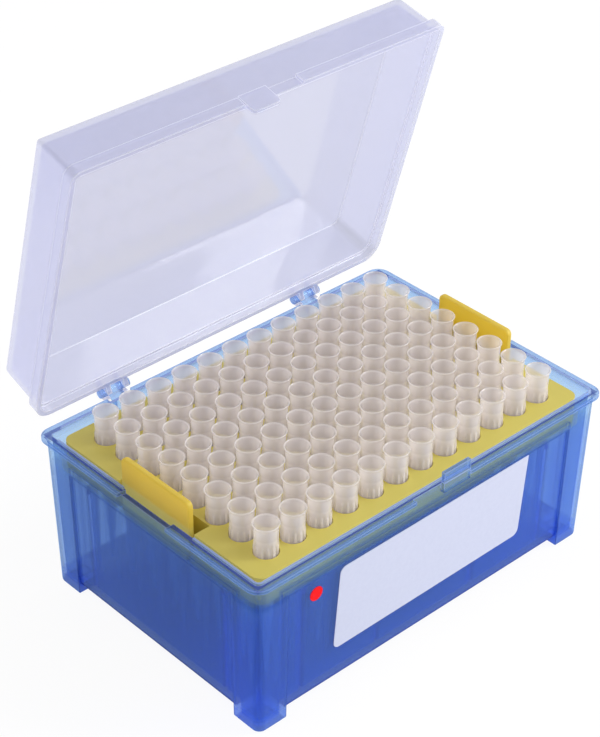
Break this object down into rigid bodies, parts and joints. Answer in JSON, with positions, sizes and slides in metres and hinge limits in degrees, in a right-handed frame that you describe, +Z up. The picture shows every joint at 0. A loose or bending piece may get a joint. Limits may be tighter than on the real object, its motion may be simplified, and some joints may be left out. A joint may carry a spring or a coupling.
{
  "type": "box of pipette tips",
  "caption": "Hinged box of pipette tips: a translucent blue tray on corner feet holds a yellow rack of tips, and a clear lid with a front catch swings open at the back.",
  "frame": {"origin": "middle of the four corner feet, on the surface they stand on", "axes": "X along the long side, -Y the labelled front, +Y the hinge side, +Z up"},
  "size_m": [0.1272, 0.104, 0.1392],
  "materials": {
    "tray_blue": "satin, translucent",
    "lid_clear": "clear, polished",
    "rack_yellow": "satin",
    "tip_natural": "natural, milky",
    "label_white": "coated paper",
    "spot_red": "coated paper"
  },
  "bodies": {
    "base": {"base_tray": "tray_blue", "tip_rack": "rack_yellow", "front_label": "label_white", "red_spot": "spot_red", "tips_01_ab": "tip_natural", "tips_01_cd": "tip_natural", "tips_01_ef": "tip_natural", "tips_01_gh": "tip_natural", "tips_02_ab": "tip_natural", "tips_02_cd": "tip_natural", "tips_02_ef": "tip_natural", "tips_02_gh": "tip_natural", "tips_03_ab": "tip_natural", "tips_03_cd": "tip_natural", "tips_03_ef": "tip_natural", "tips_03_gh": "tip_natural", "tips_04_ab": "tip_natural", "tips_04_cd": "tip_natural", "tips_04_ef": "tip_natural", "tips_04_gh": "tip_natural", "tips_05_ab": "tip_natural", "tips_05_cd": "tip_natural", "tips_05_ef": "tip_natural", "tips_05_gh": "tip_natural", "tips_06_ab": "tip_natural", "tips_06_cd": "tip_natural", "tips_06_ef": "tip_natural", "tips_06_gh": "tip_natural", "tips_07_ab": "tip_natural", "tips_07_cd": "tip_natural", "tips_07_ef": "tip_natural", "tips_07_gh": "tip_natural", "tips_08_ab": "tip_natural", "tips_08_cd": "tip_natural", "tips_08_ef": "tip_natural", "tips_08_gh": "tip_natural", "tips_09_ab": "tip_natural", "tips_09_cd": "tip_natural", "tips_09_ef": "tip_natural", "tips_09_gh": "tip_natural", "tips_10_ab": "tip_natural", "tips_10_cd": "tip_natural", "tips_10_ef": "tip_natural", "tips_10_gh": "tip_natural", "tips_11_ab": "tip_natural", "tips_11_cd": "tip_natural", "tips_11_ef": "tip_natural", "tips_11_gh": "tip_natural", "tips_12_ab": "tip_natural", "tips_12_cd": "tip_natural", "tips_12_ef": "tip_natural", "tips_12_gh": "tip_natural"},
    "lid": {"lid": "lid_clear"}
  },
  "joints": [
    {"name": "lid_hinge", "type": "hinge", "parent": "base", "child": "lid", "pos_m": [0, 0.0463, 0.0503], "axis": [1, 0, 0], "range_deg": [-30.69, 74.31]}
  ]
}
